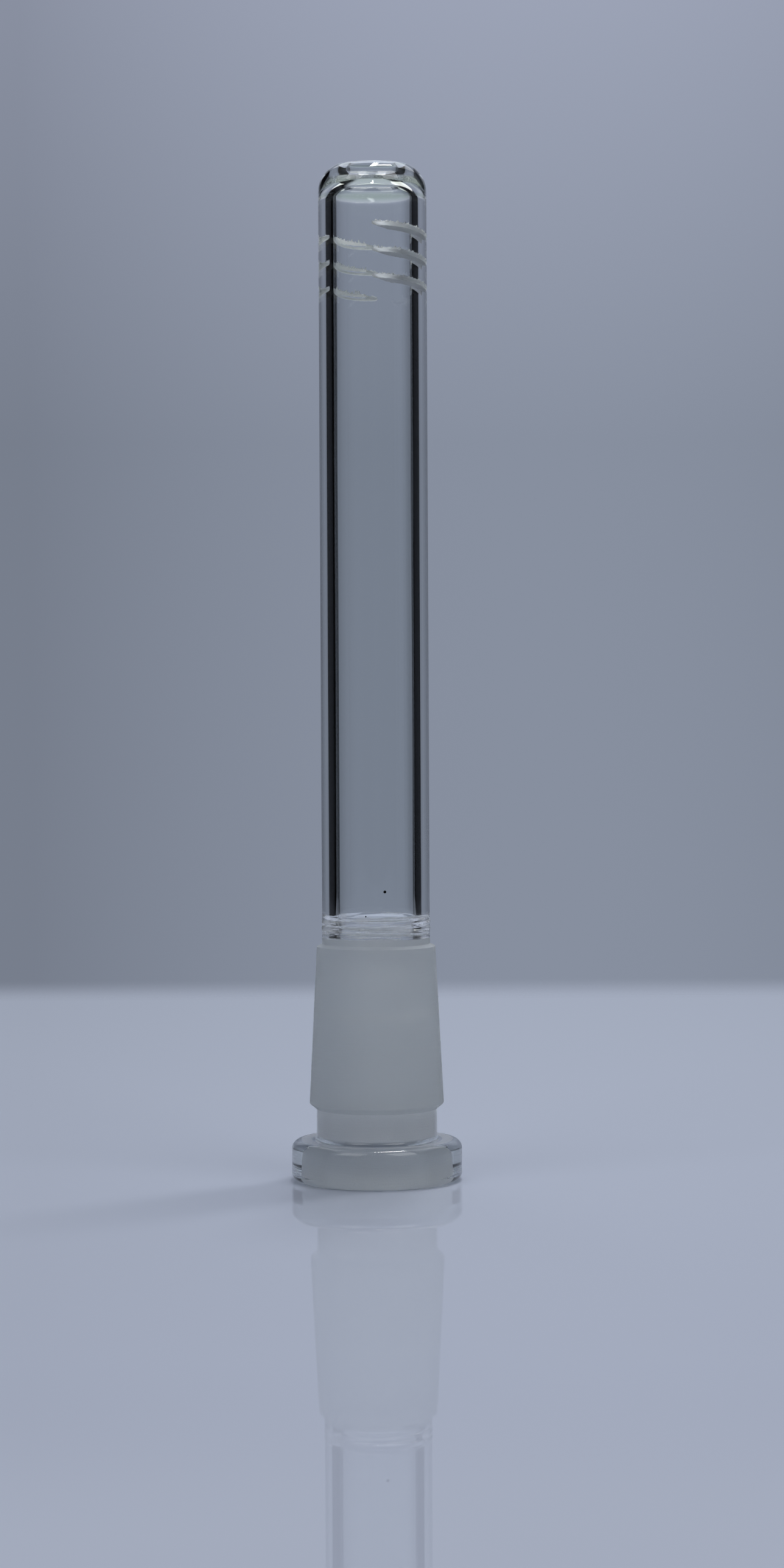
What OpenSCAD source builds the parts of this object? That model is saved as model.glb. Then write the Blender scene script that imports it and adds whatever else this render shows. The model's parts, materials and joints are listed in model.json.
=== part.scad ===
// Diffuser stem of clear borosilicate glass, stood upside down on the rim of its ground joint.
// A drawn tube with saw-cut slits and a drawn-in tip is fused to a reducing joint that is
// ground outside to a cone and inside to a smaller socket.
// Millimetres, +Z up, origin at the centre of the rim's resting face.

/* [Ground joint] */
// Diameter of the ground cone at its large end
cone_large_d = 18.8; // [17.6:0.1:21]
// Length of the ground cone along the axis
cone_length = 22; // [20:0.5:26]
// Loss of diameter per millimetre of length, on the cone and in the socket
joint_taper = 0.1; // [0.08:0.01:0.12]
// Diameter of the ground socket at its mouth
socket_mouth_d = 14.5; // [13.8:0.1:14.9]
// Depth of the ground socket from the resting face
socket_depth = 23; // [20:0.5:25]
// Width of the rounding that leads into the socket's mouth
socket_lead = 0.5; // [0.2:0.1:0.8]

/* [Rim and neck] */
// Outside diameter of the thick rim
rim_d = 23.9; // [22:0.1:26]
// Height of the rim
rim_height = 5.7; // [4.5:0.1:6.5]
// Rounding of the rim's lower edge
rim_low_round = 1.1; // [0.5:0.1:1.6]
// Rounding of the rim's upper edge
rim_top_round = 1.3; // [0.5:0.1:1.6]
// Outside diameter of the neck between rim and cone
neck_d = 16.9; // [16.4:0.1:17.4]
// Height of the cone's large end above the resting face
cone_base_z = 10.8; // [9.5:0.1:12]
// Rounding where the neck rises from the rim
neck_fillet = 0.7; // [0.3:0.1:1]
// Height of the bevel under the cone
cone_bevel = 0.75; // [0.4:0.05:1]
// Rounding of the cone's lower edge
cone_edge_round = 0.35; // [0.2:0.05:0.5]

/* [Fused seal] */
// Length of the stub that the cone leaves for the seal
stub_length = 1.25; // [0.8:0.05:2]
// Height of the fused ring of glass
seal_height = 3.15; // [2:0.05:5]
// How far the fused ring swells past the tube, outside and inside
seal_swell = 0.1; // [0:0.01:0.15]
// Rings that the flame left round the seal
seal_ripples = 3; // [1:1:5]

/* [Stem] */
// Outside diameter of the drawn tube
stem_d = 15.1; // [14.6:0.1:15.6]
// Wall of the drawn tube
stem_wall = 2.05; // [1.6:0.05:2.4]
// Height of the whole object
overall_height = 141.6; // [120:0.1:180]

/* [Tip] */
// Diameter of the mouth at the tip
mouth_d = 7.2; // [6.4:0.1:8]
// Rounding of the tip's shoulder
shoulder_r = 4; // [3.5:0.1:4.5]
// Rounding of the mouth's outer lip
lip_r = 1.3; // [0.9:0.05:1.5]
// Straight length of the mouth between its two lips
throat_length = 0.2; // [0.1:0.05:0.5]
// Rounding of the mouth's inner lip
inner_lip_r = 1.3; // [0.8:0.05:1.5]
// Rounding of the shoulder inside the tip
inner_shoulder_r = 2.6; // [2:0.1:3]

/* [Slits] */
// Slits in each of the two facing sets
slit_rows = 3; // [1:1:4]
// Distance from one slit to the next
slit_pitch = 3.6; // [3:0.05:5]
// Width of the saw cut
kerf = 0.55; // [0.4:0.05:1]
// Distance from the axis to the floor of the cut
slit_floor = 4.4; // [4:0.05:5.2]
// Diameter of the saw blade
blade_d = 150; // [80:10:200]
// Distance from the tip down to the top slit of the first set, on the axis
first_drop = 10.3; // [9:0.1:14]
// Direction that the first set faces, in degrees from +X
first_azimuth = -38; // [-60:1:-20]
// Lean of the first set's planes, in degrees
first_lean = 10; // [0:0.5:15]
// Direction in which the first set's planes fall, in degrees from +X
first_fall = 95; // [0:5:180]
// Distance from the tip down to the top slit of the second set, on the axis
second_drop = 9.9; // [9:0.1:14]
// Direction that the second set faces, in degrees from +X
second_azimuth = 136; // [120:1:160]
// Lean of the second set's planes, in degrees
second_lean = 4.5; // [0:0.5:15]
// Direction in which the second set's planes fall, in degrees from +X
second_fall = 100; // [0:5:180]

/* [Hidden] */
$fn = 96;
clear_glass = [0.78, 0.84, 0.86, 0.45];
ground_glass = [0.72, 0.76, 0.79, 0.85];
arc_steps = 8;
seal_steps = 18;
blade_sides = 180;
// Angles at which the rounding under the cone starts and ends, and its rise above the cone's base
cone_edge_low = -50;
cone_edge_high = 3;
cone_edge_rise = cone_edge_round / 2;
// Share of the seal's swell that is even; the rest is in its rings
even_swell = 0.6;
stem_r = stem_d / 2;
bore_r = stem_r - stem_wall;
rim_r = rim_d / 2;
neck_r = neck_d / 2;
mouth_r = mouth_d / 2;
cone_large_r = cone_large_d / 2;
cone_small_r = cone_large_r - cone_length * joint_taper / 2;
socket_mouth_r = socket_mouth_d / 2;
socket_end_r = socket_mouth_r - socket_depth * joint_taper / 2;
cone_top_z = cone_base_z + cone_length;
stub_bevel = (cone_small_r - stem_r) / 2;
seal_z = cone_top_z + stub_length;
stem_z = seal_z + seal_height;

// Centres of the tip's roundings: the shoulder runs into the lip where the two circles touch
lip_centre = [mouth_r + lip_r, overall_height - lip_r];
shoulder_centre_r = stem_r - shoulder_r;
crown_turn = acos((lip_centre.x - shoulder_centre_r) / (shoulder_r - lip_r));
shoulder_z = lip_centre.y - (shoulder_r - lip_r) * sin(crown_turn);
// The same inside, where the shoulder and the lip curve opposite ways
inner_lip_centre = [mouth_r + inner_lip_r, lip_centre.y - throat_length];
inner_shoulder_centre_r = bore_r - inner_shoulder_r;
ceiling_turn = acos((inner_lip_centre.x - inner_shoulder_centre_r) / (inner_shoulder_r + inner_lip_r));
inner_shoulder_z = inner_lip_centre.y - (inner_shoulder_r + inner_lip_r) * sin(ceiling_turn);

// Each set of slits: drop of its top slit, direction it faces, lean, and direction of the fall
slit_sets = [
    [first_drop, first_azimuth, first_lean, first_fall],
    [second_drop, second_azimuth, second_lean, second_fall]
];

// Points on an arc about a centre, from one angle to another; it may leave out its first point
function arc(centre, r, from, to, first = 0) = [
    for (i = [first:arc_steps])
        let (a = from + (to - from) * i / arc_steps)
            centre + r * [cos(a), sin(a)]
];

// Swell of the fused ring at a share of its height, nothing at either end
function swell(u) = seal_swell * sin(180 * u)
    * (even_swell + (1 - even_swell) * sin(360 * seal_ripples * u));

function stem_profile() = concat(
    [[bore_r, stem_z], [stem_r, stem_z]],
    arc([shoulder_centre_r, shoulder_z], shoulder_r, 0, crown_turn),
    arc(lip_centre, lip_r, crown_turn, 180, 1),
    arc(inner_lip_centre, inner_lip_r, 180, 180 + ceiling_turn),
    arc([inner_shoulder_centre_r, inner_shoulder_z], inner_shoulder_r, ceiling_turn, 0, 1)
);

function seal_profile() = concat(
    [for (i = [0:seal_steps]) [stem_r + swell(i / seal_steps), seal_z + seal_height * i / seal_steps]],
    [for (i = [seal_steps:-1:0]) [bore_r - swell(i / seal_steps), seal_z + seal_height * i / seal_steps]]
);

function joint_profile() = concat(
    arc([rim_r - rim_low_round, rim_low_round], rim_low_round, -90, 0),
    arc([rim_r - rim_top_round, rim_height - rim_top_round], rim_top_round, 0, 90),
    arc([neck_r + neck_fillet, rim_height + neck_fillet], neck_fillet, 270, 180),
    [[neck_r, cone_base_z - cone_bevel]],
    arc([cone_large_r - cone_edge_round, cone_base_z + cone_edge_rise], cone_edge_round,
        cone_edge_low, cone_edge_high),
    [[cone_small_r, cone_top_z], [stem_r, cone_top_z + stub_bevel]],
    [[stem_r, seal_z], [bore_r, seal_z]],
    [[bore_r, socket_depth + socket_end_r - bore_r], [socket_end_r, socket_depth]],
    arc([socket_mouth_r + socket_lead - socket_lead * joint_taper / 2, socket_lead], socket_lead, 180, 270)
);

// One pass of the saw, down to the floor of the cut
module saw_cut() {
    translate([slit_floor + blade_d / 2, 0, 0])
        cylinder(h = kerf, d = blade_d, center = true, $fn = blade_sides);
}

// Two facing sets of parallel cuts, each set leaning its own way
module slits() {
    for (cut_set = slit_sets, row = [0:slit_rows - 1])
        translate([0, 0, overall_height - cut_set[0] - row * slit_pitch])
            rotate([0, 0, cut_set[3]])
                rotate([0, cut_set[2], 0])
                    rotate([0, 0, cut_set[1] - cut_set[3]])
                        saw_cut();
}

module stem_tube() {
    color(clear_glass)
        difference() {
            rotate_extrude()
                polygon(stem_profile());
            slits();
        }
}

module fused_seal() {
    color(clear_glass)
        rotate_extrude()
            polygon(seal_profile());
}

module ground_joint() {
    color(ground_glass)
        rotate_extrude()
            polygon(joint_profile());
}

stem_tube();
fused_seal();
ground_joint();
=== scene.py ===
"""Looks of a clear glass diffuser stem: drawn tube, flame seal and ground joint, stood on its rim."""
import json
import math

import bpy
from mathutils import Matrix, Vector, noise


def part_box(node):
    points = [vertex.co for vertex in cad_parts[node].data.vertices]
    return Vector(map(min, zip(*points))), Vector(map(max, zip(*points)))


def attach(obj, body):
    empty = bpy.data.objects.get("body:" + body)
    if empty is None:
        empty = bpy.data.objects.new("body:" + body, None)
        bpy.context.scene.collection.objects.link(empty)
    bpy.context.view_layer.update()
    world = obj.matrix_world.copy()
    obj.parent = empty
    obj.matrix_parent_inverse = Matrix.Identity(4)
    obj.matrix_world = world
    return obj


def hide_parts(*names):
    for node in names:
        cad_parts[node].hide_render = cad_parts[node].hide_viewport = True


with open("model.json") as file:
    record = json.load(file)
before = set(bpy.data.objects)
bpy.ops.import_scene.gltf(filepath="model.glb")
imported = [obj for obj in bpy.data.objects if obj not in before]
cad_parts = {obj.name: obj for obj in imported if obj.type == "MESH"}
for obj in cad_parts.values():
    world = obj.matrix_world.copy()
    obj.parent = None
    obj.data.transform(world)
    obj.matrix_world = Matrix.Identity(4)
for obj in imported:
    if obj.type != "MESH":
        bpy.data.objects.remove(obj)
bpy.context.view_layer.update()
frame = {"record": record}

MM = 0.001

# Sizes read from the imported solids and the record
STEM_LOW, STEM_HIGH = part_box("stem_tube")
SEAL_LOW, SEAL_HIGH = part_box("fused_seal")
_, JOINT_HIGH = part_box("ground_joint")
BORE_R = next(m for m in frame["record"]["mounts"] if m["name"] == "stem_bore")["dims"]["r_mm"] * MM
STEM_R = STEM_HIGH.x
STEM_Z = STEM_LOW.z
TIP_Z = STEM_HIGH.z
SEAL_Z = SEAL_LOW.z
RIM_R = JOINT_HIGH.x

# Tip, drawn in over the flame until the wall gathers
MOUTH_R = 3.6 * MM
SHOULDER_R = 4.0 * MM
LIP_R = 1.3 * MM
INNER_SHOULDER_R = 2.6 * MM
INNER_LIP_R = 1.3 * MM
THROAT = 0.2 * MM
CROWN_Z = 138.5 * MM
CROWN_HALF = 1.2 * MM

# Saw cuts; each set has the drop of its top slit, the way it faces, its lean and the way it falls
SLIT_SETS = ((10.3 * MM, -38, 10, 95), (9.9 * MM, 136, 4.5, 100))
SLIT_ROWS = 3
SLIT_PITCH = 3.6 * MM
SLIT_FLOOR = 4.4 * MM
SLIT_REACH = STEM_R + 1 * MM
SLIT_LOW = TIP_Z - 20 * MM
SLIT_HIGH = TIP_Z - 6 * MM
KERF = 0.55 * MM
BLADE_R = 75 * MM
BLADE_AT = SLIT_FLOOR + BLADE_R
BLADE_EDGE = 0.9 * MM
# Just over 1, so that the blade's edge keeps a little width
BLADE_BLUNT = 1.001
# How far a cut stays short of the place where the blade runs out of the glass, in radians
SWING_SPARE = 0.005
RUN_OUT = math.acos((BLADE_AT ** 2 + SLIT_REACH ** 2 - BLADE_R ** 2) / (2 * BLADE_AT * SLIT_REACH))
SLIT_SWING = RUN_OUT - SWING_SPARE
# A face counts as sawn from this depth under the tube's skin, and as flat from this upright share
SAWN_SKIN = 0.02 * MM
FLAT_SHARE = 0.7

# Chips along the cuts, outside and inside; the lower edges have a share of them
CHIP_DEPTH = 0.4 * MM
CHIP_HEIGHT = 0.4 * MM
CHIP_LENGTH = 0.3 * MM
FINE_CHIPS = 0.5
FINE_CHIP_SCALE = 2.3
SPALL_DEPTH = 0.5 * MM
SPALL_HEIGHT = 0.7 * MM
LOWER_EDGE = 0.15

# Specks of soot in the front of the tube: place and radius
SPECKS = (
    ((1.25 * MM, -7.45 * MM, 40.8 * MM), 0.2 * MM),
    ((-1.4 * MM, -7.42 * MM, 37.4 * MM), 0.1 * MM),
)

# Seal, where the flame left the glass rippled
RIPPLE_OUT = 0.1 * MM
RIPPLE_IN = 0.18 * MM
RIPPLE_HEIGHT = 0.45 * MM
RIPPLE_LENGTH = 8 * MM
RING_SWELL = 0.08 * MM
RINGS = 3
EVEN_SWELL = 0.6

# Joint, pressed and then ground on both tapers
RIM_HEIGHT = 5.7 * MM
RIM_LOW_ROUND = 1.1 * MM
RIM_TOP_ROUND = 1.3 * MM
NECK_R = 8.45 * MM
NECK_FILLET = 0.7 * MM
CONE_R = 9.4 * MM
CONE_Z = 10.8 * MM
CONE_LENGTH = 22 * MM
CONE_BEVEL = 0.75 * MM
CONE_EDGE = 0.35 * MM
CONE_EDGE_RISE = CONE_EDGE / 2
CONE_EDGE_LOW = math.radians(-50)
CONE_EDGE_HIGH = math.radians(3)
TAPER = 0.05
SOCKET_R = 7.25 * MM
SOCKET_DEPTH = 23 * MM
SOCKET_LEAD = 0.5 * MM
# Band of painted shade: the socket is clearer and less milky level with the rim's top, so it looks darker
# there
SHADE_BAND_Z = 5.1 * MM
SHADE_BAND_IN = 0.7 * MM
SHADE_BAND_OUT = 1.1 * MM
CONE_TOP_R = CONE_R - CONE_LENGTH * TAPER
CONE_TOP_Z = CONE_Z + CONE_LENGTH
SOCKET_END_R = SOCKET_R - SOCKET_DEPTH * TAPER

# Patterns in the glass; the grit and the chips are drawn coarser than real ones, so that they show
GLASS_IOR = 1.47
DRAW_WIDTH = 0.5 * MM
DRAW_LENGTH = 60 * MM
DRAW_RELIEF = 0.003 * MM
GRIT = 0.16 * MM
GRIT_RING_LENGTH = 5 * MM
GRIT_RING_WIDTH = 0.22 * MM
CONE_RELIEF = 0.012 * MM
SOCKET_RELIEF = 0.03 * MM
SAWN_GRAIN = 0.25 * MM
SAWN_RELIEF = 0.05 * MM
# Streaks of the seal: the relief of their ripples, and the painted highlights that follow them
STREAK_LENGTH = 6 * MM
STREAK_WIDTH = 0.5 * MM
STREAK_RELIEF = 0.02 * MM

# Fineness of the meshes
TURN_STEPS = 240
ARC_STEPS = 28
FINE_STEP = 0.4 * MM
LONG_STEP = 4 * MM
RIPPLE_STEP = 0.1 * MM
KERF_ACROSS = 22
KERF_ALONG = 180
MERGE = 0.001 * MM
SHARP = 35
SEAL_SHARP = 60

# Camera, from the photograph: the axis over pixel 619, the base at pixel 1937, a slight roll
PHOTO_W, PHOTO_H = 1288, 2576
AXIS_PX = 619
BASE_PX = 1937
PX_PER_MM = 11.74
CAMERA_BACK = 452 * MM
CAMERA_UP = 67 * MM
CAMERA_ROLL = math.radians(0.285)
CAMERA_NEAR = 10 * MM
SENSOR = 36

# Table, and the stretch over which it pales towards the back, a painted fall of light
TABLE_BACK = 300 * MM
TABLE_FRONT = 700 * MM
TABLE_SIDE = 600 * MM
TABLE_FADE = 30 * MM
PALE_FROM = -200 * MM
PALE_TO = 300 * MM

# Surroundings, in degrees round from the back or up from level; levels are shares of the paper's tone
SIDE_SHEET_AT = -90
SIDE_SHEET_HALF = 18
BACK_SHEET_AT = 3.25
BACK_SHEET_HALF = 28.75
SHEET_BLUR = 1
BACK_FALL_FROM = 12
BACK_FALL_TO = 30
BACK_FALL_LEVEL = 0.72
FRONT_WALL_FROM = 105
FRONT_WALL_TO = 120
FRONT_WALL_LEVEL = 0.5
STRIP_FOOT = (12, 15)
STRIP_TOP = (28, 20)
CEILING = (48, 64)

# Backdrop paper: its tone by how far a direction points up, and to the right
PAPER_LOW = 0.08
PAPER_HIGH = 0.22
PAPER_PEAK = 0.053
PAPER_SPREAD = 0.025
PAPER_EDGE = 0.76
PAPER_IN_GLASS = 0.88

# Lamps: name, place, width and length, and power in watts
LAMPS = (
    ("left_front_softbox", (-0.8, -0.8, 1.3), (0.9, 0.9), 5.6),
    ("right_front_softbox", (0.8, -0.8, 1.3), (0.9, 0.9), 7.2),
    ("back_softbox", (0.1, 0.8, 1.2), (1.4, 0.8), 3.5),
    ("left_ceiling_tube", (0.03, 0.16, 1.1), (0.07, 0.4), 4.0),
    ("right_ceiling_tube", (0.18, 0.16, 1.1), (0.07, 0.4), 4.0),
)
LAMP_AIM = (0, 0, 0.05)


def linear(hexcode):
    """sRGB hex colour to the linear values that a shader takes."""
    parts = [int(hexcode[i:i + 2], 16) / 255 for i in (1, 3, 5)]
    return tuple(c / 12.92 if c <= 0.04045 else ((c + 0.055) / 1.055) ** 2.4 for c in parts) + (1.0,)


def add(tree, kind, inputs=None, **settings):
    """Adds a node, sets its properties, and fills or links its inputs."""
    made = tree.nodes.new(kind)
    for key, value in settings.items():
        setattr(made, key, value)
    for key, value in (inputs or {}).items():
        if isinstance(value, bpy.types.NodeSocket):
            tree.links.new(value, made.inputs[key])
        else:
            made.inputs[key].default_value = value
    return made


def new_material(name):
    """An empty node material, its tree and its output."""
    made = bpy.data.materials.new(name)
    made.use_nodes = True
    made.node_tree.nodes.clear()
    return made, made.node_tree, made.node_tree.nodes.new("ShaderNodeOutputMaterial")


def scatter(tree, tone, through, normal):
    """A broken glass surface: part of the light turns back, the rest spreads through it."""
    turned_back = add(tree, "ShaderNodeBsdfPrincipled", {
        "Base Color": linear(tone), "Roughness": 0.6, "IOR": GLASS_IOR, "Normal": normal})
    spread = add(tree, "ShaderNodeBsdfTranslucent", {"Color": linear(tone), "Normal": normal})
    return add(tree, "ShaderNodeMixShader", {
        0: through, 1: turned_back.outputs["BSDF"], 2: spread.outputs["BSDF"]}).outputs["Shader"]


def drawn_borosilicate():
    """Borosilicate, drawn and fire polished: clear, with faint draw lines and a green cast where thick."""
    made, tree, out = new_material("borosilicate_drawn_clear")
    where = add(tree, "ShaderNodeTexCoord")
    along = add(tree, "ShaderNodeMapping", {
        "Vector": where.outputs["Object"], "Scale": (1 / DRAW_WIDTH, 1 / DRAW_WIDTH, 1 / DRAW_LENGTH)})
    lines = add(tree, "ShaderNodeTexNoise", {"Vector": along.outputs["Vector"], "Scale": 1.0, "Detail": 2.0})
    draw = add(tree, "ShaderNodeBump", {
        "Height": lines.outputs["Fac"], "Strength": 1.0, "Distance": DRAW_RELIEF})
    axes = add(tree, "ShaderNodeSeparateXYZ", {0: where.outputs["Object"]})
    above = add(tree, "ShaderNodeMath", {0: axes.outputs["Z"], 1: CROWN_Z}, operation="SUBTRACT")
    off = add(tree, "ShaderNodeMath", {0: above.outputs[0]}, operation="ABSOLUTE")
    thick = add(tree, "ShaderNodeMapRange", {
        "Value": off.outputs[0], "From Min": CROWN_HALF, "From Max": 0.0}, interpolation_type="SMOOTHSTEP")
    low = add(tree, "ShaderNodeMapRange", {
        "Value": axes.outputs["Z"], "From Min": RIM_HEIGHT + NECK_FILLET, "From Max": RIM_HEIGHT},
        interpolation_type="SMOOTHSTEP")
    rim = add(tree, "ShaderNodeMix", {
        "Factor": low.outputs["Result"], "A": linear("#F9FBFB"), "B": linear("#F0F5F5")}, data_type="RGBA")
    cast = add(tree, "ShaderNodeMix", {
        "Factor": thick.outputs["Result"], "A": rim.outputs["Result"], "B": linear("#CBD8C8")},
        data_type="RGBA")
    glass = add(tree, "ShaderNodeBsdfPrincipled", {
        "Base Color": cast.outputs["Result"], "Roughness": 0.0, "IOR": GLASS_IOR, "Transmission Weight": 1.0,
        "Normal": draw.outputs["Normal"]})
    soot = add(tree, "ShaderNodeBsdfDiffuse", {"Color": linear("#101010")})
    surface = glass.outputs["BSDF"]
    for spot, radius in SPECKS:
        gap = add(tree, "ShaderNodeVectorMath", {0: where.outputs["Object"], 1: spot}, operation="DISTANCE")
        speck = add(tree, "ShaderNodeMath", {0: gap.outputs["Value"], 1: radius}, operation="LESS_THAN")
        surface = add(tree, "ShaderNodeMixShader", {
            0: speck.outputs[0], 1: surface, 2: soot.outputs["BSDF"]}).outputs["Shader"]
    tree.links.new(surface, out.inputs["Surface"])
    return made


def grit_marks(tree, where):
    """Height of the grit marks that run round a ground taper."""
    grit = add(tree, "ShaderNodeTexNoise", {
        "Vector": where.outputs["Object"], "Scale": 1 / GRIT, "Detail": 2.0})
    around = add(tree, "ShaderNodeMapping", {
        "Vector": where.outputs["Object"],
        "Scale": (1 / GRIT_RING_LENGTH, 1 / GRIT_RING_LENGTH, 1 / GRIT_RING_WIDTH)})
    rings = add(tree, "ShaderNodeTexNoise", {"Vector": around.outputs["Vector"], "Scale": 1.0, "Detail": 3.0})
    marks = add(tree, "ShaderNodeMath", {0: grit.outputs["Fac"], 1: rings.outputs["Fac"]}, operation="ADD")
    return marks.outputs[0]


def ground_cone():
    """Borosilicate ground outside to a cone: matt, and milky where light comes through."""
    made, tree, out = new_material("borosilicate_ground_cone")
    where = add(tree, "ShaderNodeTexCoord")
    marks = grit_marks(tree, where)
    bump = add(tree, "ShaderNodeBump", {"Height": marks, "Strength": 1.0, "Distance": CONE_RELIEF})
    matt = add(tree, "ShaderNodeMapRange", {
        "Value": marks, "From Min": 0.6, "From Max": 1.4, "To Min": 0.56, "To Max": 0.74})
    glass = add(tree, "ShaderNodeBsdfPrincipled", {
        "Base Color": linear("#D6DADB"), "Roughness": matt.outputs["Result"], "IOR": GLASS_IOR,
        "Transmission Weight": 0.86, "Normal": bump.outputs["Normal"]})
    tree.links.new(glass.outputs["BSDF"], out.inputs["Surface"])
    return made


def ground_socket():
    """Borosilicate ground inside to a socket: milky, grit marks round it, and clearer level with the rim's
    top as painted shade.
    """
    made, tree, out = new_material("borosilicate_ground_socket")
    where = add(tree, "ShaderNodeTexCoord")
    bump = add(tree, "ShaderNodeBump", {
        "Height": grit_marks(tree, where), "Strength": 1.0, "Distance": SOCKET_RELIEF})
    axes = add(tree, "ShaderNodeSeparateXYZ", {0: where.outputs["Object"]})
    above = add(tree, "ShaderNodeMath", {0: axes.outputs["Z"], 1: SHADE_BAND_Z}, operation="SUBTRACT")
    off = add(tree, "ShaderNodeMath", {0: above.outputs[0]}, operation="ABSOLUTE")
    # Painted shade: less milky and smoother within the band level with the rim's top
    milk = add(tree, "ShaderNodeMapRange", {
        "Value": off.outputs[0], "From Min": SHADE_BAND_IN, "From Max": SHADE_BAND_OUT,
        "To Min": 0.08, "To Max": 0.9}, interpolation_type="SMOOTHSTEP")
    matt = add(tree, "ShaderNodeMapRange", {
        "Value": off.outputs[0], "From Min": SHADE_BAND_IN, "From Max": SHADE_BAND_OUT,
        "To Min": 0.3, "To Max": 0.7}, interpolation_type="SMOOTHSTEP")
    glass = add(tree, "ShaderNodeBsdfPrincipled", {
        "Base Color": linear("#F4F6F8"), "Roughness": matt.outputs["Result"], "IOR": GLASS_IOR,
        "Transmission Weight": 1.0, "Normal": bump.outputs["Normal"]})
    milky = scatter(tree, tone="#F8FAFC", through=0.1, normal=bump.outputs["Normal"])
    mix = add(tree, "ShaderNodeMixShader", {
        0: milk.outputs["Result"], 1: glass.outputs["BSDF"], 2: milky})
    tree.links.new(mix.outputs["Shader"], out.inputs["Surface"])
    return made


def sawn_borosilicate():
    """Borosilicate as a diamond blade leaves it: white, rough and chipped."""
    made, tree, out = new_material("borosilicate_sawn_white")
    where = add(tree, "ShaderNodeTexCoord")
    chips = add(tree, "ShaderNodeTexNoise", {
        "Vector": where.outputs["Object"], "Scale": 1 / SAWN_GRAIN, "Detail": 3.0})
    bump = add(tree, "ShaderNodeBump", {
        "Height": chips.outputs["Fac"], "Strength": 1.0, "Distance": SAWN_RELIEF})
    white = scatter(tree, tone="#FAFCFA", through=0.7, normal=bump.outputs["Normal"])
    tree.links.new(white, out.inputs["Surface"])
    return made


def fused_borosilicate():
    """Borosilicate melted together: clear, with white milky streaks that run round it, painted highlights for
    the light that its ripples bend.
    """
    made, tree, out = new_material("borosilicate_fused_streaked")
    where = add(tree, "ShaderNodeTexCoord")
    around = add(tree, "ShaderNodeMapping", {
        "Vector": where.outputs["Object"], "Scale": (1 / STREAK_LENGTH, 1 / STREAK_LENGTH, 1 / STREAK_WIDTH)})
    streaks = add(tree, "ShaderNodeTexNoise", {
        "Vector": around.outputs["Vector"], "Scale": 1.0, "Detail": 3.0})
    # Painted highlights: white milky streaks where the rippled seal bends bright light
    painted_streaks = add(tree, "ShaderNodeMapRange", {
        "Value": streaks.outputs["Fac"], "From Min": 0.5, "From Max": 0.62, "To Max": 0.35})
    ripple_bump = add(tree, "ShaderNodeBump", {
        "Height": streaks.outputs["Fac"], "Strength": 1.0, "Distance": STREAK_RELIEF})
    glass = add(tree, "ShaderNodeBsdfPrincipled", {
        "Base Color": linear("#FDFEFE"), "Roughness": 0.0, "IOR": GLASS_IOR, "Transmission Weight": 1.0})
    milky = scatter(tree, tone="#FAFCFC", through=0.6, normal=ripple_bump.outputs["Normal"])
    mix = add(tree, "ShaderNodeMixShader", {
        0: painted_streaks.outputs["Result"], 1: glass.outputs["BSDF"], 2: milky})
    tree.links.new(mix.outputs["Shader"], out.inputs["Surface"])
    return made


def melted_seam():
    """Where two pieces were melted into one there is no surface left to see."""
    made, tree, out = new_material("borosilicate_melted_seam")
    through = add(tree, "ShaderNodeBsdfTransparent", {"Color": (1, 1, 1, 1)})
    tree.links.new(through.outputs["BSDF"], out.inputs["Surface"])
    return made


def arc(centre_r, centre_z, r, start, end):
    """Points of a round stretch of an outline, from one angle to another."""
    turn = [start + (end - start) * i / ARC_STEPS for i in range(ARC_STEPS + 1)]
    return [(centre_r + r * math.cos(a), centre_z + r * math.sin(a)) for a in turn]


def run(start, end, step):
    """Points along a straight stretch, at most a step apart, without its ends."""
    count = math.ceil(math.dist(start, end) / step)
    return [tuple(a + (b - a) * i / count for a, b in zip(start, end)) for i in range(1, count)]


def ease(value, low, high):
    """A smooth step from 0 at the low value to 1 at the high one."""
    t = min(max((value - low) / (high - low), 0), 1)
    return t * t * (3 - 2 * t)


def pick(piece):
    """Selects one object alone and makes it the active one."""
    bpy.ops.object.select_all(action="DESELECT")
    piece.select_set(True)
    bpy.context.view_layer.objects.active = piece


def turned(name, outline):
    """Draws a closed outline from one vertex, then spins it round the axis into a closed solid."""
    bpy.ops.object.select_all(action="DESELECT")
    bpy.ops.mesh.primitive_circle_add(vertices=3, radius=MM, location=(0, 0, 0), enter_editmode=True)
    piece = bpy.context.object
    piece.name = piece.data.name = name
    bpy.ops.mesh.merge(type="CENTER")
    at = outline[0]
    bpy.ops.transform.translate(value=(at[0], 0, at[1]))
    for point in outline[1:] + outline[:1]:
        move = (point[0] - at[0], 0, point[1] - at[1])
        bpy.ops.mesh.extrude_vertices_move(TRANSFORM_OT_translate={"value": move})
        at = point
    bpy.ops.mesh.select_all(action="SELECT")
    bpy.ops.mesh.remove_doubles(threshold=MERGE)
    bpy.ops.mesh.spin(steps=TURN_STEPS, angle=2 * math.pi, center=(0, 0, 0), axis=(0, 0, 1))
    bpy.ops.mesh.select_all(action="SELECT")
    bpy.ops.mesh.remove_doubles(threshold=MERGE)
    bpy.ops.mesh.normals_make_consistent(inside=False)
    bpy.ops.object.mode_set(mode="OBJECT")
    return piece


def assign(piece, materials, choose):
    """Gives each face the material slot that choose picks from the face's centre and normal."""
    for material in materials:
        piece.data.materials.append(material)
    for face in piece.data.polygons:
        face.material_index = choose(face.center, face.normal)


def smooth(piece, degrees=SHARP):
    """Smooth shading that keeps edges sharper than the angle."""
    pick(piece)
    bpy.ops.object.shade_smooth_by_angle(angle=math.radians(degrees))


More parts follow.
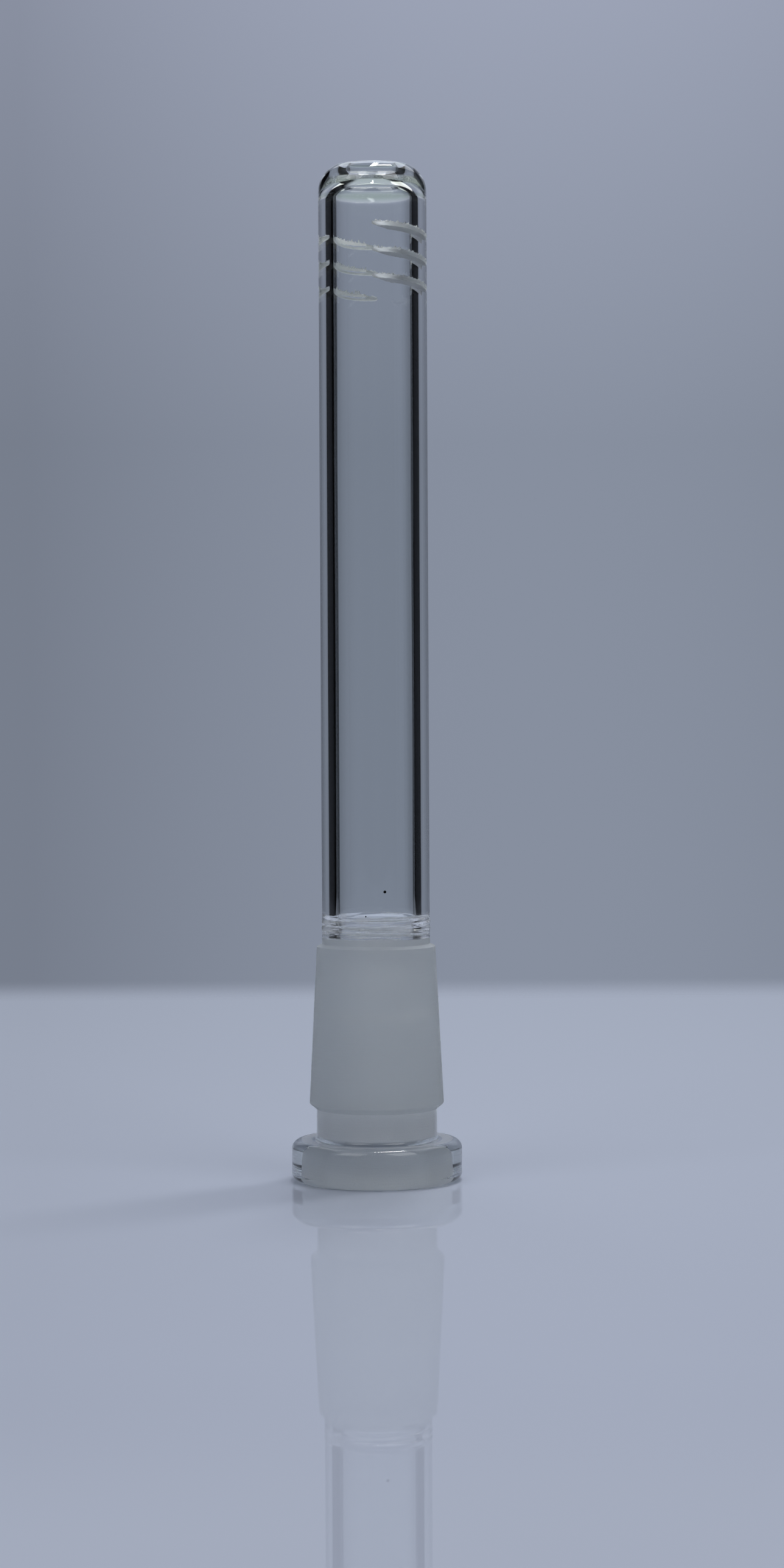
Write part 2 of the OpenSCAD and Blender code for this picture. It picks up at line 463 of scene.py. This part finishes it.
def stem_outline():
    """Outline of the tube: up the outside, over the lip, down the mouth and the bore."""
    lip = (MOUTH_R + LIP_R, TIP_Z - LIP_R)
    outer_r = STEM_R - SHOULDER_R
    crown = math.acos((lip[0] - outer_r) / (SHOULDER_R - LIP_R))
    outer_z = lip[1] - (SHOULDER_R - LIP_R) * math.sin(crown)
    inner_lip = (MOUTH_R + INNER_LIP_R, lip[1] - THROAT)
    inner_r = BORE_R - INNER_SHOULDER_R
    ceiling = math.acos((inner_lip[0] - inner_r) / (INNER_SHOULDER_R + INNER_LIP_R))
    inner_z = inner_lip[1] - (INNER_SHOULDER_R + INNER_LIP_R) * math.sin(ceiling)
    points = [(STEM_R, STEM_Z)]
    points += run((STEM_R, STEM_Z), (STEM_R, SLIT_LOW), LONG_STEP) + [(STEM_R, SLIT_LOW)]
    points += run((STEM_R, SLIT_LOW), (STEM_R, outer_z), FINE_STEP)
    points += arc(outer_r, outer_z, SHOULDER_R, 0, crown)
    points += arc(*lip, LIP_R, crown, math.pi)[1:]
    points += arc(*inner_lip, INNER_LIP_R, math.pi, math.pi + ceiling)
    points += arc(inner_r, inner_z, INNER_SHOULDER_R, ceiling, 0)[1:]
    points += run((BORE_R, inner_z), (BORE_R, SLIT_LOW), FINE_STEP) + [(BORE_R, SLIT_LOW)]
    points += run((BORE_R, SLIT_LOW), (BORE_R, STEM_Z), LONG_STEP) + [(BORE_R, STEM_Z)]
    return points


def seal_outline():
    """Outline of the fused ring, plain here: its ripples come after."""
    low, high = SEAL_LOW.z, SEAL_HIGH.z
    outside = [(STEM_R, low)] + run((STEM_R, low), (STEM_R, high), RIPPLE_STEP) + [(STEM_R, high)]
    return outside + [(BORE_R, z) for r, z in reversed(outside)]


def joint_outline():
    """Outline of the joint: rim, neck, cone, stub, then down the bore and the socket."""
    half = math.pi / 2
    points = arc(RIM_R - RIM_LOW_ROUND, RIM_LOW_ROUND, RIM_LOW_ROUND, -half, 0)
    points += arc(RIM_R - RIM_TOP_ROUND, RIM_HEIGHT - RIM_TOP_ROUND, RIM_TOP_ROUND, 0, half)
    points += arc(NECK_R + NECK_FILLET, RIM_HEIGHT + NECK_FILLET, NECK_FILLET, 3 * half, 2 * half)
    points += [(NECK_R, CONE_Z - CONE_BEVEL)]
    points += arc(CONE_R - CONE_EDGE, CONE_Z + CONE_EDGE_RISE, CONE_EDGE, CONE_EDGE_LOW, CONE_EDGE_HIGH)
    points += [(CONE_TOP_R, CONE_TOP_Z), (STEM_R, CONE_TOP_Z + (CONE_TOP_R - STEM_R) / 2)]
    points += [(STEM_R, SEAL_Z), (BORE_R, SEAL_Z)]
    points += [(BORE_R, SOCKET_DEPTH + SOCKET_END_R - BORE_R), (SOCKET_END_R, SOCKET_DEPTH)]
    points += arc(SOCKET_R + SOCKET_LEAD - SOCKET_LEAD * TAPER, SOCKET_LEAD, SOCKET_LEAD, 2 * half, 3 * half)
    return points


def saw_cut(level, facing, lean, fall):
    """One pass of the blade as a solid: a round-edged fan through the wall, chipped at its ends."""
    bpy.ops.object.select_all(action="DESELECT")
    bpy.ops.mesh.primitive_grid_add(x_subdivisions=KERF_ACROSS, y_subdivisions=KERF_ALONG, size=1)
    cut = bpy.context.object
    for corner in cut.data.vertices:
        swing = 2 * corner.co.y * SLIT_SWING
        floor = BLADE_AT * math.cos(swing) - math.sqrt(BLADE_R ** 2 - (BLADE_AT * math.sin(swing)) ** 2)
        reach = floor + (corner.co.x + 0.5) * (SLIT_REACH - floor)
        shy = 1 - min((reach - floor) / BLADE_EDGE, 1)
        half = KERF / 2 * math.sqrt(BLADE_BLUNT - shy * shy)
        corner.co = (reach * math.cos(swing), reach * math.sin(swing), -half)
    bpy.ops.object.mode_set(mode="EDIT")
    bpy.ops.mesh.select_all(action="SELECT")
    bpy.ops.mesh.extrude_region_move(TRANSFORM_OT_translate={"value": (0, 0, 2 * KERF)})
    bpy.ops.mesh.select_all(action="SELECT")
    bpy.ops.mesh.normals_make_consistent(inside=False)
    bpy.ops.object.mode_set(mode="OBJECT")
    place = Matrix.Translation((0, 0, level))
    for angle, axis in ((fall, "Z"), (lean, "Y"), (facing - fall, "Z")):
        place = place @ Matrix.Rotation(math.radians(angle), 4, axis)
    for corner in cut.data.vertices:
        if corner.co.z > 0:
            corner.co.z = 2 * KERF - corner.co.z
        r = math.hypot(corner.co.x, corner.co.y)
        spot = place @ corner.co / CHIP_LENGTH
        flake = max(noise.noise(spot), 0) + FINE_CHIPS * abs(noise.noise(FINE_CHIP_SCALE * spot))
        chip = CHIP_HEIGHT * flake * ease(r, STEM_R - CHIP_DEPTH, STEM_R)
        spall = SPALL_HEIGHT * flake * (1 - ease(r, BORE_R, BORE_R + SPALL_DEPTH))
        share = 1 if corner.co.z > 0 else -LOWER_EDGE
        corner.co.z += share * (chip + spall)
    cut.data.transform(place)
    return cut


def saw_slits(tube):
    """Cuts both sets of slits into the tube, one set on each side of it."""
    cuts = []
    for drop, facing, lean, fall in SLIT_SETS:
        for row in range(SLIT_ROWS):
            cuts.append(saw_cut(TIP_Z - drop - row * SLIT_PITCH, facing, lean, fall))
    bpy.ops.object.select_all(action="DESELECT")
    for cut in cuts:
        cut.select_set(True)
    bpy.context.view_layer.objects.active = cuts[0]
    bpy.ops.object.join()
    blades = bpy.context.object
    pick(tube)
    saw = tube.modifiers.new("saw", "BOOLEAN")
    saw.operation = "DIFFERENCE"
    saw.solver = "EXACT"
    saw.object = blades
    bpy.ops.object.modifier_apply(modifier="saw")
    bpy.data.objects.remove(blades)


def ripple(ring):
    """Waves the fused ring's walls in low streaks that run round it, and leaves its ends round."""
    low, high = SEAL_LOW.z, SEAL_HIGH.z
    middle = (STEM_R + BORE_R) / 2
    for corner in ring.data.vertices:
        r = math.hypot(corner.co.x, corner.co.y)
        rise = (corner.co.z - low) / (high - low)
        swell = math.sqrt(max(math.sin(math.pi * rise), 0))
        spot = Vector((corner.co.x / RIPPLE_LENGTH, corner.co.y / RIPPLE_LENGTH, corner.co.z / RIPPLE_HEIGHT))
        rings = EVEN_SWELL + (1 - EVEN_SWELL) * math.sin(2 * math.pi * RINGS * rise)
        even = RING_SWELL * math.sin(math.pi * rise) * rings
        side, size = (1, RIPPLE_OUT) if r > middle else (-1, RIPPLE_IN)
        grow = 1 + (side * even + size * swell * noise.noise(spot)) / r
        corner.co.x *= grow
        corner.co.y *= grow


def stem_finish(at, normal):
    """Slot of a face of the tube: clear, sawn white, melted seam, or the greyer ground finish on the first
    set's flat cut sides as painted shade.
    """
    r = math.hypot(at.x, at.y)
    if at.z < STEM_Z + MERGE:
        return 2
    in_wall = BORE_R + SAWN_SKIN < r < STEM_R - SAWN_SKIN
    if not (in_wall and SLIT_LOW < at.z < SLIT_HIGH):
        return 0
    # Painted shade: the first set's flat cut sides take the greyer ground-cone finish, as they lie in shade
    facing = math.radians(SLIT_SETS[0][1])
    first_set = at.x * math.cos(facing) + at.y * math.sin(facing) > 0
    return 3 if first_set and abs(normal.z) > FLAT_SHARE else 1


def seal_finish(at, normal):
    """Slot of a face of the seal: clear, or melted seam at both ends."""
    return 1 if min(at.z - SEAL_LOW.z, SEAL_HIGH.z - at.z) < MERGE else 0


def joint_finish(at, normal):
    """Slot of a face of the joint: clear, ground cone, ground socket or melted seam."""
    if at.z > SEAL_Z - MERGE:
        return 3
    outside = normal.x * at.x + normal.y * at.y > 0
    if outside:
        return 1 if at.z > CONE_Z - CONE_BEVEL else 0
    # A level face counts as inside, so the rim's flat top has the socket's finish, in its clearer band of
    # painted shade
    return 2 if at.z > SOCKET_LEAD else 0


def table_top():
    """A pale glossy table top that ends softly behind the object."""
    bpy.ops.object.select_all(action="DESELECT")
    bpy.ops.mesh.primitive_plane_add(size=2)
    top = bpy.context.object
    top.name = "table_top"
    for corner in top.data.vertices:
        corner.co.x *= TABLE_SIDE + TABLE_FADE
        corner.co.y *= TABLE_BACK + TABLE_FADE if corner.co.y > 0 else TABLE_FRONT + TABLE_FADE
    made, tree, out = new_material("lacquer_pale_gloss")
    where = add(tree, "ShaderNodeTexCoord")
    axes = add(tree, "ShaderNodeSeparateXYZ", {0: where.outputs["Object"]})
    aside = add(tree, "ShaderNodeMath", {0: axes.outputs["X"]}, operation="ABSOLUTE")
    past = add(tree, "ShaderNodeMath", {
        0: aside.outputs[0], 1: TABLE_SIDE - TABLE_BACK}, operation="SUBTRACT")
    reach = add(tree, "ShaderNodeMath", {0: past.outputs[0], 1: axes.outputs["Y"]}, operation="MAXIMUM")
    fade = add(tree, "ShaderNodeMapRange", {
        "Value": reach.outputs[0], "From Min": TABLE_BACK - TABLE_FADE, "From Max": TABLE_BACK + TABLE_FADE},
        interpolation_type="SMOOTHSTEP")
    # Painted light: the table's colour is darker at the front and paler towards the back
    depth = add(tree, "ShaderNodeMapRange", {
        "Value": axes.outputs["Y"], "From Min": PALE_FROM, "From Max": PALE_TO})
    pale = add(tree, "ShaderNodeMix", {
        "Factor": depth.outputs["Result"], "A": linear("#9298A6"), "B": linear("#ADB4C2")}, data_type="RGBA")
    lacquer = add(tree, "ShaderNodeBsdfPrincipled", {
        "Base Color": pale.outputs["Result"], "Roughness": 0.0, "IOR": 1.45, "Specular IOR Level": 0.16})
    through = add(tree, "ShaderNodeBsdfTransparent")
    mix = add(tree, "ShaderNodeMixShader", {
        0: fade.outputs["Result"], 1: lacquer.outputs["BSDF"], 2: through.outputs["BSDF"]})
    tree.links.new(mix.outputs["Shader"], out.inputs["Surface"])
    top.data.materials.append(made)


def sheet_at(tree, azimuth, centre, half):
    """How far round from a sheet's middle a direction lies, and whether it meets the sheet."""
    off = add(tree, "ShaderNodeMath", {0: azimuth, 1: math.radians(centre)}, operation="SUBTRACT")
    away = add(tree, "ShaderNodeMath", {0: off.outputs[0]}, operation="ABSOLUTE").outputs[0]
    meets = add(tree, "ShaderNodeMapRange", {
        "Value": away, "From Min": math.radians(half + SHEET_BLUR),
        "From Max": math.radians(half - SHEET_BLUR)}, interpolation_type="SMOOTHSTEP")
    return away, meets.outputs["Result"]


def climb(tree, up, degrees):
    """A soft step from 0 at the first height above level to 1 at the second."""
    low, high = (math.sin(math.radians(angle)) for angle in degrees)
    step = add(tree, "ShaderNodeMapRange", {
        "Value": up, "From Min": low, "From Max": high}, interpolation_type="SMOOTHSTEP")
    return step.outputs["Result"]


def backdrop_paper(tree, axes, in_glass):
    """Tone of the backdrop: paler upwards, dimmer to both sides, and even where it is seen through glass."""
    height = add(tree, "ShaderNodeMapRange", {
        "Value": axes.outputs["Z"], "From Min": PAPER_LOW, "From Max": PAPER_HIGH})
    plain = add(tree, "ShaderNodeMix", {
        "Factor": height.outputs["Result"], "A": linear("#878F9F"), "B": linear("#9DA4B7")}, data_type="RGBA")
    aside = add(tree, "ShaderNodeMath", {0: axes.outputs["X"], 1: PAPER_PEAK}, operation="SUBTRACT")
    spread = add(tree, "ShaderNodeMath", {0: aside.outputs[0], 1: aside.outputs[0]}, operation="MULTIPLY")
    dim = add(tree, "ShaderNodeMapRange", {
        "Value": spread.outputs[0], "From Max": PAPER_SPREAD, "To Min": 1.0, "To Max": PAPER_EDGE})
    even = add(tree, "ShaderNodeMix", {"Factor": in_glass, "A": dim.outputs["Result"], "B": PAPER_IN_GLASS})
    paper = add(tree, "ShaderNodeMix", {
        "Factor": 1.0, "A": plain.outputs["Result"], "B": even.outputs["Result"]},
        data_type="RGBA", blend_type="MULTIPLY")
    return paper.outputs["Result"]


def surroundings():
    """A pale backdrop, a pale ceiling, and a dim room at the sides that draws the dark lines in the glass."""
    world = bpy.data.worlds.new("studio")
    bpy.context.scene.world = world
    world.use_nodes = True
    tree = world.node_tree
    tree.nodes.clear()
    out = tree.nodes.new("ShaderNodeOutputWorld")
    where = add(tree, "ShaderNodeTexCoord")
    axes = add(tree, "ShaderNodeSeparateXYZ", {0: where.outputs["Generated"]})
    up = axes.outputs["Z"]
    path = add(tree, "ShaderNodeLightPath")
    direct, in_glass = path.outputs["Is Camera Ray"], path.outputs["Is Transmission Ray"]
    azimuth = add(tree, "ShaderNodeMath", {
        0: axes.outputs["X"], 1: axes.outputs["Y"]}, operation="ARCTAN2").outputs[0]
    side_sheet = sheet_at(tree, azimuth, SIDE_SHEET_AT, SIDE_SHEET_HALF)[1]
    away, back_sheet = sheet_at(tree, azimuth, BACK_SHEET_AT, BACK_SHEET_HALF)
    fall = add(tree, "ShaderNodeMapRange", {
        "Value": away, "From Min": math.radians(BACK_FALL_FROM), "From Max": math.radians(BACK_FALL_TO),
        "To Min": 1.0, "To Max": BACK_FALL_LEVEL})
    side = add(tree, "ShaderNodeMath", {0: side_sheet, 1: in_glass}, operation="MULTIPLY")
    main = add(tree, "ShaderNodeMath", {0: back_sheet, 1: fall.outputs["Result"]}, operation="MULTIPLY")
    both = add(tree, "ShaderNodeMath", {0: main.outputs[0], 1: side.outputs[0]}, operation="MAXIMUM")
    turn = add(tree, "ShaderNodeMath", {0: azimuth}, operation="ABSOLUTE")
    front = add(tree, "ShaderNodeMapRange", {
        "Value": turn.outputs[0], "From Min": math.radians(FRONT_WALL_FROM),
        "From Max": math.radians(FRONT_WALL_TO), "To Max": FRONT_WALL_LEVEL})
    walls = add(tree, "ShaderNodeMath", {0: both.outputs[0], 1: front.outputs["Result"]}, operation="MAXIMUM")
    lit = add(tree, "ShaderNodeMath", {0: walls.outputs[0], 1: direct}, operation="MAXIMUM")
    band = add(tree, "ShaderNodeMath", {
        0: climb(tree, up, STRIP_FOOT), 1: climb(tree, up, STRIP_TOP)}, operation="MULTIPLY")
    unseen = add(tree, "ShaderNodeMath", {0: 1.0, 1: direct}, operation="SUBTRACT")
    strip = add(tree, "ShaderNodeMath", {0: band.outputs[0], 1: unseen.outputs[0]}, operation="MULTIPLY")
    back = add(tree, "ShaderNodeMix", {
        "Factor": strip.outputs[0], "A": backdrop_paper(tree, axes, in_glass), "B": linear("#B4BBC9")},
        data_type="RGBA")
    room = add(tree, "ShaderNodeMix", {
        "Factor": lit.outputs[0], "A": linear("#050506"), "B": back.outputs["Result"]}, data_type="RGBA")
    whole = add(tree, "ShaderNodeMix", {
        "Factor": climb(tree, up, CEILING), "A": room.outputs["Result"], "B": linear("#BCC3D0")},
        data_type="RGBA")
    light = add(tree, "ShaderNodeBackground", {"Color": whole.outputs["Result"], "Strength": 1.0})
    tree.links.new(light.outputs["Background"], out.inputs["Surface"])


def lamp(name, place, size, watts):
    """A soft lamp of a width and a length that faces the object."""
    data = bpy.data.lights.new(name, "AREA")
    data.shape = "RECTANGLE"
    data.size, data.size_y = size
    data.energy = watts
    made = bpy.data.objects.new(name, data)
    bpy.context.collection.objects.link(made)
    made.location = place
    made.rotation_euler = (Vector(LAMP_AIM) - Vector(place)).to_track_quat("-Z", "Y").to_euler()


def photo_camera():
    """The photograph's viewpoint: level with the lower tube, a little under half a metre away."""
    data = bpy.data.cameras.new("photo_camera")
    data.sensor_width = SENSOR
    focal_px = PX_PER_MM * CAMERA_BACK / MM
    data.lens = focal_px / PHOTO_H * SENSOR
    data.clip_start = CAMERA_NEAR
    made = bpy.data.objects.new("photo_camera", data)
    bpy.context.collection.objects.link(made)
    down = math.atan(CAMERA_UP / CAMERA_BACK) - math.atan((BASE_PX - PHOTO_H / 2) / focal_px)
    swung_px = (BASE_PX - PHOTO_H / 2) * math.tan(CAMERA_ROLL)
    right = math.atan((PHOTO_W / 2 - AXIS_PX + swung_px) / focal_px)
    made.location = (0, -CAMERA_BACK, CAMERA_UP)
    made.rotation_euler = (math.pi / 2 - down, CAMERA_ROLL, -right)
    bpy.context.scene.camera = made


DRAWN = drawn_borosilicate()
CONE_GROUND = ground_cone()
SOCKET_GROUND = ground_socket()
SAWN = sawn_borosilicate()
FUSED = fused_borosilicate()
SEAM = melted_seam()

stem = turned("drawn_stem", stem_outline())
saw_slits(stem)
assign(stem, [DRAWN, SAWN, SEAM, CONE_GROUND], stem_finish)
smooth(stem)

seal = turned("flame_seal", seal_outline())
ripple(seal)
assign(seal, [FUSED, SEAM], seal_finish)
smooth(seal, SEAL_SHARP)

joint = turned("ground_joint_glass", joint_outline())
assign(joint, [DRAWN, CONE_GROUND, SOCKET_GROUND, SEAM], joint_finish)
smooth(joint)

for piece, node, slot in ((stem, "stem_tube", "clear_glass"), (seal, "fused_seal", "clear_glass"),
                          (joint, "ground_joint", "ground_glass")):
    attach(piece, "root")
    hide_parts(node)

table_top()
surroundings()
for row in LAMPS:
    lamp(*row)
photo_camera()

scene = bpy.context.scene
scene.view_settings.view_transform = "Standard"
scene.cycles.max_bounces = 72
scene.cycles.glossy_bounces = 64
scene.cycles.transmission_bounces = 72
scene.cycles.transparent_max_bounces = 32
